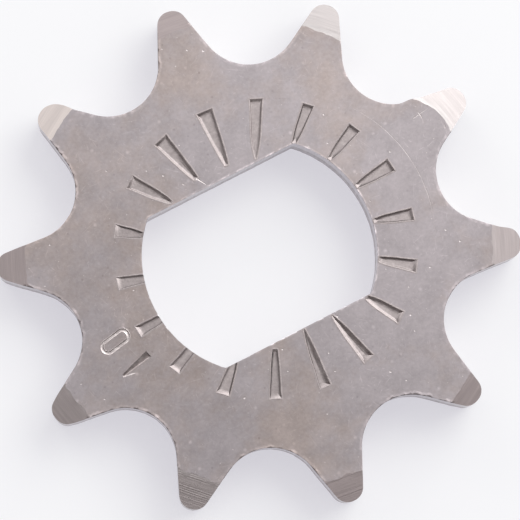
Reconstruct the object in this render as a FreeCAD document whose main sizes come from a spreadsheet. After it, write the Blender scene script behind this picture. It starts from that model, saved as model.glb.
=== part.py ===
import FreeCAD, Part
import math
import os
import Sketcher

# Plate sprocket for a half-inch roller chain, stamped from steel in one piece.
# It has ten bevelled teeth, a double-D bore and a ring of wedge marks punched
# into its upper face. Millimetres. Z is the axis and the plate lies on Z = 0.
# X runs along the flats of the bore.

doc = FreeCAD.newDocument("ChainSprocket")

# Driving dimensions
sizes = {
    "plate_thickness": 4.4,
    "tooth_count": 10,
    "chain_pitch": 12.7,
    "seat_radius": 4.27,
    "tip_rise": 1.6,
    "tip_land": 1.85,
    "tip_corner_radius": 1.2,
    "tip_corner_share": 0.97,
    "bevel_reach": 2.35,
    "bevel_depth": 0.5,
    "first_gap_angle": 29.4,
    "bore_radius": 9.95,
    "bore_across_flats": 14.3,
    "mark_count": 18,
    "mark_first_angle": 66,
    "mark_ring_x": 0.72,
    "mark_ring_y": 0.26,
    "mark_outer_radius": 12.7,
    "mark_inner_radius": 7.7,
    "mark_outer_width": 1.05,
    "mark_inner_width": 0.3,
    "mark_wall_run": 0.12,
    "mark_end_run": 0.25,
    "mark_depth": 0.35,
    "cutter_overrun": 1,
}
sheet = doc.addObject("Spreadsheet::Sheet", "Sizes")
for row, (name, value) in enumerate(sizes.items(), start=1):
    sheet.set(f"A{row}", name)
    sheet.set(f"B{row}", str(value))
    sheet.setAlias(f"B{row}", name)
doc.recompute()

# Sizes that follow from the driving ones
PITCH_RADIUS = "Sizes.chain_pitch / 2 / sin(180 deg / Sizes.tooth_count)"
TIP_RADIUS = f"{PITCH_RADIUS} + Sizes.tip_rise"
OVERRUN_RADIUS = f"{TIP_RADIUS} + Sizes.cutter_overrun"

body = doc.addObject("PartDesign::Body", "Sprocket")
body.Label = "sprocket"


def origin_plane(role):
    """Give the body's own origin plane of that role."""
    return next(item for item in body.Origin.OriginFeatures if item.Role == role)


def new_sketch(name, role):
    """Start a sketch on one of the body's origin planes."""
    sketch = body.newObject("Sketcher::SketchObject", name)
    sketch.AttachmentSupport = (origin_plane(role), [""])
    sketch.MapMode = "FlatFace"
    return sketch


def worked_out(expression):
    """Give the present value of an expression of the sheet's sizes."""
    result = sheet.evalExpression(expression)
    return float(getattr(result, "Value", result))


def link(sketch, kind, *places, size):
    """Add a dimension and bind it to an expression of the sheet's sizes."""
    value = worked_out(size)
    if kind == "Angle":
        value = math.radians(value)
    index = sketch.addConstraint(Sketcher.Constraint(kind, *places, value))
    sketch.setExpression(f"Constraints[{index}]", size)


def join(sketch, *pairs):
    """Make pairs of end points coincide."""
    for first, first_end, second, second_end in pairs:
        sketch.addConstraint(Sketcher.Constraint("Coincident", first, first_end, second, second_end))


def line(sketch, start, end, guide=False):
    """Draw a straight edge, or a guide line, and give its index."""
    places = [FreeCAD.Vector(*start, 0), FreeCAD.Vector(*end, 0)]
    return sketch.addGeometry(Part.LineSegment(*places), guide)


def circle(sketch, radius, guide):
    """Draw a circle round the sketch's origin and give its index."""
    ring = Part.Circle(FreeCAD.Vector(0, 0, 0), FreeCAD.Vector(0, 0, 1), radius)
    return sketch.addGeometry(ring, guide)


def arc(sketch, centre, radius, start_angle, end_angle):
    """Draw an arc from angles in degrees and give its index."""
    whole = Part.Circle(FreeCAD.Vector(*centre, 0), FreeCAD.Vector(0, 0, 1), radius)
    ends = [math.radians(start_angle), math.radians(end_angle)]
    return sketch.addGeometry(Part.ArcOfCircle(whole, *ends), False)


def cuts(feature, before):
    """Stop where a feature that should remove metal left the volume as it was."""
    doc.recompute()
    after = feature.Shape.Volume
    if not after < before - 1e-6:
        raise RuntimeError(f"{feature.Name} removes nothing")
    return after


# Blank: a disc out to the tooth tips
blank_sketch = new_sketch("BlankSketch", "XY_Plane")
rim = circle(blank_sketch, worked_out(TIP_RADIUS), False)
join(blank_sketch, (rim, 3, -1, 1))
link(blank_sketch, "Radius", rim, size=TIP_RADIUS)
blank = body.newObject("PartDesign::Pad", "Blank")
blank.Profile = blank_sketch
blank.setExpression("Length", "Sizes.plate_thickness")
doc.recompute()
volume = blank.Shape.Volume

# Tooth gap: a roller seat on the pitch circle, with straight flanks tangent to it.
# They run to the tip circle and leave a flat land there, half of it on each gap.
gap_sketch = new_sketch("GapSketch", "XY_Plane")
gap_sketch.setExpression("AttachmentOffset.Rotation.Angle", "Sizes.first_gap_angle * 1 deg")
pitch_radius = worked_out(PITCH_RADIUS)
tip_radius = worked_out(TIP_RADIUS)
mouth_x = worked_out(OVERRUN_RADIUS)
half_pitch_angle = math.pi / sizes["tooth_count"]
tip_angle = half_pitch_angle - math.asin(sizes["tip_land"] / 2 / tip_radius)
tip = (tip_radius * math.cos(tip_angle), tip_radius * math.sin(tip_angle))
reach = math.dist(tip, (pitch_radius, 0))
lean = math.atan2(tip[1], tip[0] - pitch_radius) - math.asin(sizes["seat_radius"] / reach)
foot = (
    pitch_radius - sizes["seat_radius"] * math.sin(lean),
    sizes["seat_radius"] * math.cos(lean),
)
seat_half_angle = 90 - math.degrees(lean)
seat = arc(
    gap_sketch,
    (pitch_radius, 0),
    sizes["seat_radius"],
    180 - seat_half_angle,
    180 + seat_half_angle,
)
upper = line(gap_sketch, foot, tip)
lower = line(gap_sketch, (foot[0], -foot[1]), (tip[0], -tip[1]))
upper_way_out = line(gap_sketch, tip, (mouth_x, tip[1]))
lower_way_out = line(gap_sketch, (tip[0], -tip[1]), (mouth_x, -tip[1]))
mouth = line(gap_sketch, (mouth_x, tip[1]), (mouth_x, -tip[1]))
tip_circle = circle(gap_sketch, tip_radius, True)
tooth_top = (tip_radius * math.cos(half_pitch_angle), tip_radius * math.sin(half_pitch_angle))
tooth_axis = line(gap_sketch, (0, 0), tooth_top, guide=True)
join(gap_sketch, (tip_circle, 3, -1, 1), (tooth_axis, 1, -1, 1))
join(gap_sketch, (upper, 2, upper_way_out, 1), (lower, 2, lower_way_out, 1))
join(gap_sketch, (upper_way_out, 2, mouth, 1), (lower_way_out, 2, mouth, 2))
for item, end, guide in (
    (seat, 3, -1),
    (tooth_axis, 2, tip_circle),
    (upper, 2, tip_circle),
    (lower, 2, tip_circle),
):
    gap_sketch.addConstraint(Sketcher.Constraint("PointOnObject", item, end, guide))
gap_sketch.addConstraint(Sketcher.Constraint("Tangent", seat, 1, upper, 1))
gap_sketch.addConstraint(Sketcher.Constraint("Tangent", seat, 2, lower, 1))
gap_sketch.addConstraint(Sketcher.Constraint("Horizontal", upper_way_out))
gap_sketch.addConstraint(Sketcher.Constraint("Horizontal", lower_way_out))
gap_sketch.addConstraint(Sketcher.Constraint("Vertical", mouth))
gap_sketch.addConstraint(Sketcher.Constraint("Vertical", upper, 2, lower, 2))
link(gap_sketch, "Radius", tip_circle, size=TIP_RADIUS)
link(gap_sketch, "DistanceX", -1, 1, seat, 3, size=PITCH_RADIUS)
link(gap_sketch, "Radius", seat, size="Sizes.seat_radius")
link(gap_sketch, "Angle", -1, tooth_axis, size="180 deg / Sizes.tooth_count")
link(gap_sketch, "Distance", upper, 2, tooth_axis, size="Sizes.tip_land / 2")
link(gap_sketch, "DistanceX", -1, 1, mouth, 1, size=OVERRUN_RADIUS)
flank_lean = gap_sketch.addConstraint(Sketcher.Constraint("Angle", -1, upper, lean))
gap_sketch.setDriving(flank_lean, False)
gap_sketch.renameConstraint(flank_lean, "flank_lean")
gap = body.newObject("PartDesign::Pocket", "ToothGap")
gap.Profile = gap_sketch
gap.Type = "ThroughAll"
gap.Reversed = True
volume = cuts(gap, volume)

gaps = body.newObject("PartDesign::PolarPattern", "ToothGaps")
gaps.Originals = [gap]
gaps.Axis = (gap_sketch, ["N_Axis"])
gaps.Angle = 360
gaps.setExpression("Occurrences", "Sizes.tooth_count")
body.Tip = gaps
volume = cuts(gaps, volume)

# Tip corners: every upright edge on the tip circle, rounded as far as the land allows
CORNER_TURN = "90 deg - GapSketch.Constraints.flank_lean + 180 deg / Sizes.tooth_count"
CORNER_LIMIT = f"Sizes.tip_corner_share * Sizes.tip_land / 2 / tan(({CORNER_TURN}) / 2)"
corner_names = []
for number, edge in enumerate(gaps.Shape.Edges, start=1):
    ends = [vertex.Point for vertex in edge.Vertexes]
    upright = len(ends) == 2 and math.dist(ends[0][:2], ends[1][:2]) < 1e-6
    if upright and abs(math.hypot(*ends[0][:2]) - tip_radius) < 1e-4:
        corner_names.append(f"Edge{number}")
corners = body.newObject("PartDesign::Fillet", "TipCorners")
corners.Base = (gaps, corner_names)
corners.setExpression("Radius", f"min(Sizes.tip_corner_radius; {CORNER_LIMIT})")
volume = cuts(corners, volume)

# Tip bevels: a shallow cone turned off both faces at the tooth tips
bevel_sketch = new_sketch("BevelSketch", "XZ_Plane")
BEVEL_START = f"{TIP_RADIUS} - Sizes.bevel_reach"
BEVEL_DROP = "Sizes.bevel_depth * (Sizes.bevel_reach + Sizes.cutter_overrun) / Sizes.bevel_reach"
near, far, drop = (worked_out(item) for item in (BEVEL_START, OVERRUN_RADIUS, BEVEL_DROP))
for face, inward in ((0, 1), (sizes["plate_thickness"], -1)):
    along = line(bevel_sketch, (near, face), (far, face))
    down = line(bevel_sketch, (far, face), (far, face + inward * drop))
    slope = line(bevel_sketch, (far, face + inward * drop), (near, face))
    join(bevel_sketch, (along, 2, down, 1), (down, 2, slope, 1), (slope, 2, along, 1))
    bevel_sketch.addConstraint(Sketcher.Constraint("Horizontal", along))
    bevel_sketch.addConstraint(Sketcher.Constraint("Vertical", down))
    link(bevel_sketch, "DistanceX", -1, 1, along, 1, size=BEVEL_START)
    link(bevel_sketch, "DistanceX", -1, 1, along, 2, size=OVERRUN_RADIUS)
    if inward > 0:
        bevel_sketch.addConstraint(Sketcher.Constraint("PointOnObject", along, 1, -1))
        link(bevel_sketch, "DistanceY", down, 1, down, 2, size=BEVEL_DROP)
    else:
        link(bevel_sketch, "DistanceY", -1, 1, along, 1, size="Sizes.plate_thickness")
        link(bevel_sketch, "DistanceY", down, 2, down, 1, size=BEVEL_DROP)
bevels = body.newObject("PartDesign::Groove", "TipBevels")
bevels.Profile = bevel_sketch
bevels.ReferenceAxis = (bevel_sketch, ["V_Axis"])
bevels.Angle = 360
volume = cuts(bevels, volume)

# Bore: a circle with two flats that drive the sprocket
bore_sketch = new_sketch("BoreSketch", "XY_Plane")
bore_radius = sizes["bore_radius"]
half_flats = sizes["bore_across_flats"] / 2
corner_x = math.sqrt(bore_radius**2 - half_flats**2)
swing = math.degrees(math.atan2(half_flats, corner_x))
right = arc(bore_sketch, (0, 0), bore_radius, -swing, swing)
left = arc(bore_sketch, (0, 0), bore_radius, 180 - swing, 180 + swing)
top_flat = line(bore_sketch, (corner_x, half_flats), (-corner_x, half_flats))
bottom_flat = line(bore_sketch, (-corner_x, -half_flats), (corner_x, -half_flats))
join(bore_sketch, (right, 3, -1, 1), (left, 3, -1, 1))
join(bore_sketch, (right, 2, top_flat, 1), (top_flat, 2, left, 1))
join(bore_sketch, (left, 2, bottom_flat, 1), (bottom_flat, 2, right, 1))
bore_sketch.addConstraint(Sketcher.Constraint("Horizontal", top_flat))
bore_sketch.addConstraint(Sketcher.Constraint("Horizontal", bottom_flat))
bore_sketch.addConstraint(Sketcher.Constraint("Equal", right, left))
link(bore_sketch, "Radius", right, size="Sizes.bore_radius")
link(bore_sketch, "DistanceY", -1, 1, top_flat, 1, size="Sizes.bore_across_flats / 2")
link(bore_sketch, "DistanceY", bottom_flat, 1, -1, 1, size="Sizes.bore_across_flats / 2")
bore = body.newObject("PartDesign::Pocket", "Bore")
bore.Profile = bore_sketch
bore.Type = "ThroughAll"
bore.Reversed = True
volume = cuts(bore, volume)


# Wedge marks: the punch was set off the bore's centre, so their ring is too
def mark_outline(name, level, inset, end_inset):
    """Draw the mark's outline at one level, set in from its outline on the face."""
    sketch = new_sketch(name, "XY_Plane")
    sketch.setExpression("AttachmentOffset.Base.x", "Sizes.mark_ring_x * 1 mm")
    sketch.setExpression("AttachmentOffset.Base.y", "Sizes.mark_ring_y * 1 mm")
    sketch.setExpression("AttachmentOffset.Base.z", f"({level}) * 1 mm")
    sketch.setExpression("AttachmentOffset.Rotation.Angle", "Sizes.mark_first_angle * 1 deg")
    inner = f"Sizes.mark_inner_radius + {end_inset}"
    outer = f"Sizes.mark_outer_radius - {end_inset}"
    inner_half = f"Sizes.mark_inner_width / 2 - {inset}"
    outer_half = f"Sizes.mark_outer_width / 2 - {inset}"
    x_in, x_out, y_in, y_out = map(worked_out, (inner, outer, inner_half, outer_half))
    places = [(x_in, -y_in), (x_out, -y_out), (x_out, y_out), (x_in, y_in)]
    sides = [line(sketch, places[i], places[(i + 1) % 4]) for i in range(4)]
    join(sketch, *((sides[i], 2, sides[(i + 1) % 4], 1) for i in range(4)))
    sketch.addConstraint(Sketcher.Constraint("Symmetric", sides[1], 1, sides[1], 2, -1))
    sketch.addConstraint(Sketcher.Constraint("Symmetric", sides[3], 1, sides[3], 2, -1))
    link(sketch, "DistanceX", -1, 1, sides[1], 2, size=outer)
    link(sketch, "DistanceX", -1, 1, sides[3], 1, size=inner)
    link(sketch, "DistanceY", -1, 1, sides[1], 2, size=outer_half)
    link(sketch, "DistanceY", -1, 1, sides[3], 1, size=inner_half)
    return sketch


face_outline = mark_outline("MarkFace", "Sizes.plate_thickness", "0", "0")
floor_outline = mark_outline(
    "MarkFloor",
    "Sizes.plate_thickness - Sizes.mark_depth",
    "Sizes.mark_wall_run",
    "Sizes.mark_end_run",
)
mark = body.newObject("PartDesign::SubtractiveLoft", "WedgeMark")
mark.Profile = face_outline
mark.Sections = [floor_outline]
mark.Ruled = True
volume = cuts(mark, volume)

marks = body.newObject("PartDesign::PolarPattern", "WedgeMarks")
marks.Originals = [mark]
marks.Axis = (face_outline, ["N_Axis"])
marks.Angle = 360
marks.setExpression("Occurrences", "Sizes.mark_count")
body.Tip = marks
volume = cuts(marks, volume)

# Nothing is written unless every feature and the finished solid are sound
for item in doc.Objects:
    if {"Invalid", "Error"} & set(item.State):
        raise RuntimeError(f"{item.Name} failed: {item.State}")
if body.Shape.isNull() or not body.Shape.isValid() or len(body.Shape.Solids) != 1:
    raise RuntimeError(f"{body.Label} is not one valid solid")

os.makedirs("parts", exist_ok=True)
body.Shape.exportStep(f"parts/{body.Label}.step")
print(f"{body.Label}: {body.Shape.Volume:.1f} cubic mm, {len(body.Shape.Faces)} faces")
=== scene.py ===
import math

import bpy
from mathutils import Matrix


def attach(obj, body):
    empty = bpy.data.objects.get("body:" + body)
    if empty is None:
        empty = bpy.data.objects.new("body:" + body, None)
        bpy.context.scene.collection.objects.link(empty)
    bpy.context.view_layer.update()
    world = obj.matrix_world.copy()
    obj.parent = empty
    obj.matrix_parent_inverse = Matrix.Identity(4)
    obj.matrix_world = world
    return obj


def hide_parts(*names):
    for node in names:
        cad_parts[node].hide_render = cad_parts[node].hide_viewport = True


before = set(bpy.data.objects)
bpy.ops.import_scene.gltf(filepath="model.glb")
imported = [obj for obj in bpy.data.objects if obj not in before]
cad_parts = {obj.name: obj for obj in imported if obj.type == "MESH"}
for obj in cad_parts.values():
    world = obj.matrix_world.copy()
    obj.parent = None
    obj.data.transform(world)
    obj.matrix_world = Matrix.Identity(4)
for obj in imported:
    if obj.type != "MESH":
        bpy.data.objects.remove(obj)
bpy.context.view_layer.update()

# Stamped plate: one flat piece of steel, punched out of 4.4 mm strip with ten teeth for
# half-inch roller chain. The punch rolls the upper edges over, burnishes the upper part
# of the wall and tears the lower part, and the rolled skin stays on both faces.
MM = 0.001
FACE_HEIGHT = 4.36 * MM
BORE_RADIUS = 9.95 * MM
BORE_HALF_FLATS = 7.15 * MM
plate_sizes = {
    "Teeth": 10,
    "Pitch radius": 20.549 * MM,
    "Seat radius": 4.27 * MM,
    "Seat swing": math.radians(52.764),
    "Tip radius": 22.149 * MM,
    "Tip land": 1.85 * MM,
    "Tip corner": 1.2 * MM,
    "First gap": math.radians(29.4),
    "Face height": FACE_HEIGHT,
    "Edge roll": 0.02 * MM,
    "Burr": 0.025 * MM,
    "Heavy side": math.radians(200),
    "Chipping": 0.1 * MM,
    "Wander": 0.05 * MM,
    "Tear": 0.045 * MM,
}
# the points along each roller seat, and the columns of points all round the plate's wall
SEAT_POINTS = 25
WALL_COLUMNS = 1100
# the skin's side that is darkened by painted shade, away from the softbox, and its cooler
# side as bearings in degrees, how far out they reach their full strength, how broad the
# rubbed rim round the bore is, and where the torn wall starts
PAINTED_SHADE_SIDE, COOLER_SIDE = 195, 320
FADE_RADIUS = 17 * MM
BORE_RIM = 0.18 * MM
TORN_BELOW = 2.4 * MM
# knocks on the outline: each one's place, its reach and its push outwards, in millimetres
KNOCKS = [
    (-8.95, 18.98, 1.3, 0.16),
    (19.92, -7.68, 1.2, 0.14),
    (-21.6, -4.4, 2.2, -0.15),
    (10.6, -19.3, 2.0, -0.08),
    (17.44, 6.05, 1.1, 0.16),
    (-14.27, 10.44, 0.6, -0.09),
    (-13.5, 9.45, 0.5, -0.07),
]


class Field:
    """A value inside a node tree, so that the rules below read as plain sums."""

    def __init__(self, socket):
        self.socket = socket

    def __add__(self, other):
        return calc("ADD", self, other)

    def __sub__(self, other):
        return calc("SUBTRACT", self, other)

    def __mul__(self, other):
        return calc("MULTIPLY", self, other)

    def __truediv__(self, other):
        return calc("DIVIDE", self, other)

    def __radd__(self, other):
        return calc("ADD", other, self)

    def __rsub__(self, other):
        return calc("SUBTRACT", other, self)

    def __rmul__(self, other):
        return calc("MULTIPLY", other, self)


def feed(socket, value):
    """Link a field to a socket, or set the socket to a plain value."""
    if isinstance(value, Field):
        socket.id_data.links.new(value.socket, socket)
    else:
        socket.default_value = value


def add(tree, kind, sockets=None, **settings):
    """Add a node, set it up, feed its sockets, and give its outputs as fields."""
    node = tree.nodes.new(kind)
    for name, value in settings.items():
        setattr(node, name, value)
    for key, value in (sockets or {}).items():
        feed(node.inputs[key], value)
    return [Field(socket) for socket in node.outputs]


def calc(operation, *terms):
    """Add one math node for fields and numbers."""
    tree = next(term.socket.id_data for term in terms if isinstance(term, Field))
    return add(tree, "ShaderNodeMath", dict(enumerate(terms)), operation=operation)[0]


def vector(x, y, z):
    """Put three fields or numbers together as one vector."""
    tree = next(term.socket.id_data for term in (x, y, z) if isinstance(term, Field))
    return add(tree, "ShaderNodeCombineXYZ", {0: x, 1: y, 2: z})[0]


def parts(field):
    """Take a vector apart into x, y and z."""
    return add(field.socket.id_data, "ShaderNodeSeparateXYZ", {0: field})


def turned(x, y, angle, height, centre=(0.0, 0.0)):
    """The place of (x, y) after a turn about the axis, moved to the centre."""
    cosine, sine = calc("COSINE", angle), calc("SINE", angle)
    return vector(
        centre[0] + x * cosine - y * sine, centre[1] + x * sine + y * cosine, height
    )


def pick(index, choices):
    """Choose one of a few numbers or fields by a whole number."""
    node = index.socket.id_data.nodes.new("GeometryNodeIndexSwitch")
    node.data_type = "FLOAT"
    while len(node.index_switch_items) < len(choices):
        node.index_switch_items.new()
    feed(node.inputs[0], index)
    for socket, choice in zip(node.inputs[1:], choices):
        feed(socket, choice)
    return Field(node.outputs[0])


def noise(place, scale, detail=2.0):
    """Smooth noise from 0 to 1, with the scale in waves for each millimetre."""
    sockets = {"Vector": place, "Scale": scale / MM, "Detail": detail}
    return add(place.socket.id_data, "ShaderNodeTexNoise", sockets)[0]


def start_tree(name, sizes):
    """Start a modifier's tree that has the sizes as its inputs."""
    tree = bpy.data.node_groups.new(name, "GeometryNodeTree")
    tree.is_modifier = True
    for way in ("INPUT", "OUTPUT"):
        tree.interface.new_socket("Mesh", in_out=way, socket_type="NodeSocketGeometry")
    for label, value in sizes.items():
        kind = "NodeSocketInt" if isinstance(value, int) else "NodeSocketFloat"
        tree.interface.new_socket(label, in_out="INPUT", socket_type=kind)
    group = tree.nodes.new("NodeGroupInput")
    return tree, {socket.name: Field(socket) for socket in group.outputs if socket.name}


def end_tree(tree, mesh, finish, chosen):
    """Make instances real, set the material on the chosen faces, and hand the mesh out."""
    real = add(tree, "GeometryNodeRealizeInstances", {0: mesh})[0]
    sockets = {0: real, "Selection": chosen, "Material": finish}
    real = add(tree, "GeometryNodeSetMaterial", sockets)[0]
    feed(tree.nodes.new("NodeGroupOutput").inputs[0], real)


def run_tree(owner, tree, sizes):
    """Give the piece this tree as a modifier, with its sizes set by identifier."""
    modifier = owner.modifiers.new(tree.name, "NODES")
    modifier.node_group = tree
    for item in tree.interface.items_tree:
        if item.in_out == "INPUT" and item.name in sizes:
            modifier[item.identifier] = sizes[item.name]


def by_face(tree, mesh, name, value):
    """Keep each face's share of a value that its corners have, which a cut carries over."""
    value = add(tree, "GeometryNodeFieldOnDomain", {0: value}, domain="POINT")[0]
    sockets = {0: mesh, "Name": name, "Value": value}
    return add(tree, "GeometryNodeStoreNamedAttribute", sockets, domain="FACE")[0]


def flatness(tree):
    """How flat a face lies, from 0 on a wall to 1 on the top and the bottom."""
    return calc("ABSOLUTE", parts(add(tree, "GeometryNodeInputNormal")[0])[2])


def loft(tree, outline, columns, section, worn):
    """A closed solid in rings along an outline.

    For a place and its way out, worn gives the burr and other fields. Each ring of the
    section has its outset, height, share of the burr, which lifts it, and shares of the
    others, which are taken off its outset.
    """
    tube = add(
        tree,
        "GeometryNodeMeshCylinder",
        {"Vertices": columns, "Side Segments": len(section) - 1},
    )[0]
    index = add(tree, "GeometryNodeInputIndex")[0]
    level = calc("FLOOR", (index + 0.5) / columns)
    share = (index - level * columns) / columns
    spot = add(
        tree, "GeometryNodeSampleCurve", {"Curves": outline, "Factor": share}, use_all_curves=True
    )
    place, along = parts(spot[1]), parts(spot[2])
    outset, height, lift, *shares = (pick(level, column) for column in zip(*section))
    burr, *others = worn(vector(place[0], place[1], height), (along[1], 0 - along[0]))
    height = height + lift * burr
    for share, wear in zip(shares, others):
        outset = outset - share * wear
    where = vector(place[0] + along[1] * outset, place[1] - along[0] * outset, height)
    return add(tree, "GeometryNodeSetPosition", {0: tube, "Position": where})[0]


def sheared(place, way_out, size):
    """A punched wall's burr, and how far its roll, chips and torn part lie behind it."""
    x, y, z = parts(place)
    heavy = size["Heavy side"]
    facing = way_out[0] * calc("COSINE", heavy) + way_out[1] * calc("SINE", heavy)
    heaviness = facing * 0.4 + 0.6
    flat_place = vector(x, y, 0.0)
    ragged = calc("MAXIMUM", noise(flat_place, 1.6, 4.0) - 0.5, 0.0)
    burr = calc("MINIMUM", ragged * heaviness * 7, 1.0) * size["Burr"]
    chips = calc("MAXIMUM", noise(flat_place, 2.3, 3.0) - 0.5, 0.0) * size["Chipping"]
    torn = (noise(vector(x, y, z * 0.25), 1.6, 3.0) - 0.35) * size["Tear"] * 3
    return burr, size["Edge roll"], chips * 7 * heaviness, torn


def mixed(tree, share, first, second):
    """A colour between two, by a share from 0 to 1."""
    node = tree.nodes.new("ShaderNodeMix")
    node.data_type = "RGBA"
    feed(node.inputs[0], share)
    for socket, colour in ((node.inputs[6], first), (node.inputs[7], second)):
        feed(socket, colour if isinstance(colour, Field) else (*colour, 1.0))
    return Field(node.outputs[2])


def steel(name, pattern, bump):
    """A metal finish, where pattern gives its colour, roughness and relief at a place."""
    material = bpy.data.materials.new(name)
    material.use_nodes = True
    tree = material.node_tree
    shader = tree.nodes["Principled BSDF"]
    shader.inputs["Metallic"].default_value = 1.0
    place = add(tree, "ShaderNodeTexCoord")[3]
    colour, roughness, relief = pattern(tree, place)
    feed(shader.inputs["Base Color"], colour)
    feed(shader.inputs["Roughness"], roughness)
    sockets = {"Strength": 1.0, "Distance": bump * MM, "Height": relief}
    feed(shader.inputs["Normal"], add(tree, "ShaderNodeBump", sockets)[0])
    return material


def brightened(tree, colour, amount):
    """A colour made lighter or darker, where 1 leaves it as it is."""
    sockets = {0: colour, "Scale": amount}
    return add(tree, "ShaderNodeVectorMath", sockets, operation="SCALE")[0]


def specks(place, spacing, size, share):
    """Small round spots in a share of the cells of a loose grid, from 0 to 1."""
    tree = place.socket.id_data
    cells = add(tree, "ShaderNodeTexVoronoi", {"Vector": place, "Scale": 1 / (spacing * MM)})
    lucky = calc("LESS_THAN", parts(cells[1])[0], share)
    return calc("MAXIMUM", 1 - cells[0] / size, 0.0) * lucky


def strokes(place, spacing, length, width, share):
    """Short, almost straight marks in a share of the cells of a loose grid, from 0 to 1."""
    tree = place.socket.id_data
    cells = add(tree, "ShaderNodeTexVoronoi", {"Vector": place, "Scale": 1 / (spacing * MM)})
    luck, turn, reach = parts(cells[1])
    x, y = (here - centre for here, centre in zip(parts(place)[:2], parts(cells[2])[:2]))
    cosine, sine = calc("COSINE", turn * math.pi), calc("SINE", turn * math.pi)
    along = (x * cosine + y * sine) / (reach * length * MM)
    across = calc("ABSOLUTE", y * cosine - x * sine + along * along * width * MM)
    ends = calc("MAXIMUM", 1 - along * along, 0.0)
    body = calc("MAXIMUM", 1 - across / (width * MM), 0.0)
    return body * ends * calc("LESS_THAN", luck, share)


def read(tree, name):
    """What the mesh keeps under that name, from 0 to 1."""
    return add(tree, "ShaderNodeAttribute", attribute_name=name)[2]


def toward(x, y, bearing):
    """How far a place lies toward a bearing in degrees, with 1 at the fade radius."""
    bearing = math.radians(bearing)
    return (x * math.cos(bearing) + y * math.sin(bearing)) / FADE_RADIUS


def skin_pattern(tree, place):
    """Dull mottled skin: warm and bluish clouds, fine grain, light rubs, dark pits and painted
    shade on one side.
    """
    x, y = parts(place)[:2]
    clouds = noise(place, 0.13, 3.0)
    patches = noise(place, 0.55, 4.0)
    grain = noise(place, 4.0, 3.0)
    tint = noise(place, 2.0, 3.0)
    painted_shade_side, cooler_side = toward(x, y, PAINTED_SHADE_SIDE), toward(x, y, COOLER_SIDE)
    far = (x * x + y * y) / FADE_RADIUS**2
    cooler = (clouds - 0.46) * 4.5 + 0.42 + cooler_side * (0.6 - far * 0.5) + (tint - 0.5) * 0.9
    warm, bluish = (0.49, 0.418, 0.396), (0.474, 0.429, 0.44)
    tone = mixed(tree, cooler, warm, bluish)
    # painted shade: the skin darkens toward the side away from the softbox, less so far out
    light = 0.9 - painted_shade_side * (0.1 - far * far * 0.075)
    light = light + (patches - 0.5) * 0.36 + (grain - 0.5) * 0.26
    # hair scratches, more in some parts than in others, with pale rubs and dark pits
    hairs = strokes(place, 0.9, 0.5, 0.035, 0.4) + strokes(place, 1.7, 1.1, 0.03, 0.3)
    hairs = (hairs + strokes(place, 0.6, 0.25, 0.04, 0.4)) * (noise(place, 0.2) * 2 - 0.5)
    rubs = specks(place, 1.3, 0.16, 0.5) + specks(place, 0.5, 0.14, 0.12)
    light = light + rubs * 0.34 + hairs * 0.34 - specks(place, 0.8, 0.16, 0.3) * 0.2
    # the rims of the bore and the outline are rubbed bright, mostly in flecks
    radius = calc("SQRT", x * x + y * y)
    from_bore = calc("MAXIMUM", radius - BORE_RADIUS, calc("ABSOLUTE", y) - BORE_HALF_FLATS)
    bore_rim = calc("MAXIMUM", 1 - from_bore / BORE_RIM, 0.0)
    bore_rim = bore_rim * (0.55 + (x * 0.8 + y * 0.4) / (20 * MM))
    rubbed = read(tree, "rim") * 0.4 + bore_rim * 1.9
    flecks = calc("MAXIMUM", noise(place, 1.4, 3.0) - 0.48, 0.0) * 6
    light = light + rubbed * flecks * 0.75 + rubbed * 0.14
    relief = grain * 0.7 + patches
    return brightened(tree, tone, light), 0.38 + patches * 0.14, relief


def sheared_pattern(tree, place):
    """Punched wall: a burnished band with fine upright lines above a dull torn one."""
    x, y, z = parts(place)
    lines = noise(vector(x, y, z * 0.06), 5.0, 3.0)
    torn = noise(vector(x, y, z * 0.4), 3.0, 4.0)
    low = calc("LESS_THAN", z + (torn - 0.5) * 1.2 * MM, TORN_BELOW)
    burnished, dull = (0.62, 0.585, 0.60), (0.58, 0.545, 0.555)
    tone = mixed(tree, low, burnished, dull)
    light = 0.97 + (lines - 0.5) * 0.45 + (torn - 0.5) * 0.5 * low
    return brightened(tree, tone, light), 0.3 + low * 0.18, lines * 0.3 + torn * low


rolled_skin = steel("rolled_skin", skin_pattern, 0.006)
sheared_steel = steel("sheared_steel", sheared_pattern, 0.02)

tree, size = start_tree("StampedPlate", plate_sizes)
# after its seat, each tooth has three points on its land: two corners and the middle
points_per_tooth = SEAT_POINTS + 3
ring = add(
    tree, "GeometryNodeCurvePrimitiveCircle", {"Resolution": size["Teeth"] * points_per_tooth}
)[0]
index = add(tree, "GeometryNodeInputIndex")[0]
tooth = calc("FLOOR", (index + 0.5) / points_per_tooth)
place = index - tooth * points_per_tooth
swing = size["Seat swing"] * (place * (2 / (SEAT_POINTS - 1)) - 1)
seat_x = size["Pitch radius"] - size["Seat radius"] * calc("COSINE", swing)
seat_y = size["Seat radius"] * calc("SINE", swing)
half_land = calc("ARCSINE", size["Tip land"] / 2 / size["Tip radius"])
pitch_angle = math.tau / plate_sizes["Teeth"]
land_side = place - (SEAT_POINTS + 1)
land_angle = pitch_angle / 2 + land_side * half_land
on_seat = calc("LESS_THAN", place, SEAT_POINTS - 0.5)
off_seat = (1 - on_seat) * size["Tip radius"]
where = turned(
    on_seat * seat_x + off_seat * calc("COSINE", land_angle),
    on_seat * seat_y + off_seat * calc("SINE", land_angle),
    size["First gap"] + tooth * pitch_angle,
    0.0,
)
outline = add(tree, "GeometryNodeSetPosition", {0: ring, "Position": where})[0]
is_corner = calc("COMPARE", calc("ABSOLUTE", land_side), 1.0, 0.1)
outline = add(
    tree,
    "GeometryNodeFilletCurve",
    {"Curve": outline, "Count": 8, "Radius": is_corner * size["Tip corner"]},
    mode="POLY",
)[0]
outline = add(
    tree, "GeometryNodeResampleCurve", {"Curve": outline, "Count": WALL_COLUMNS}
)[0]


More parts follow.
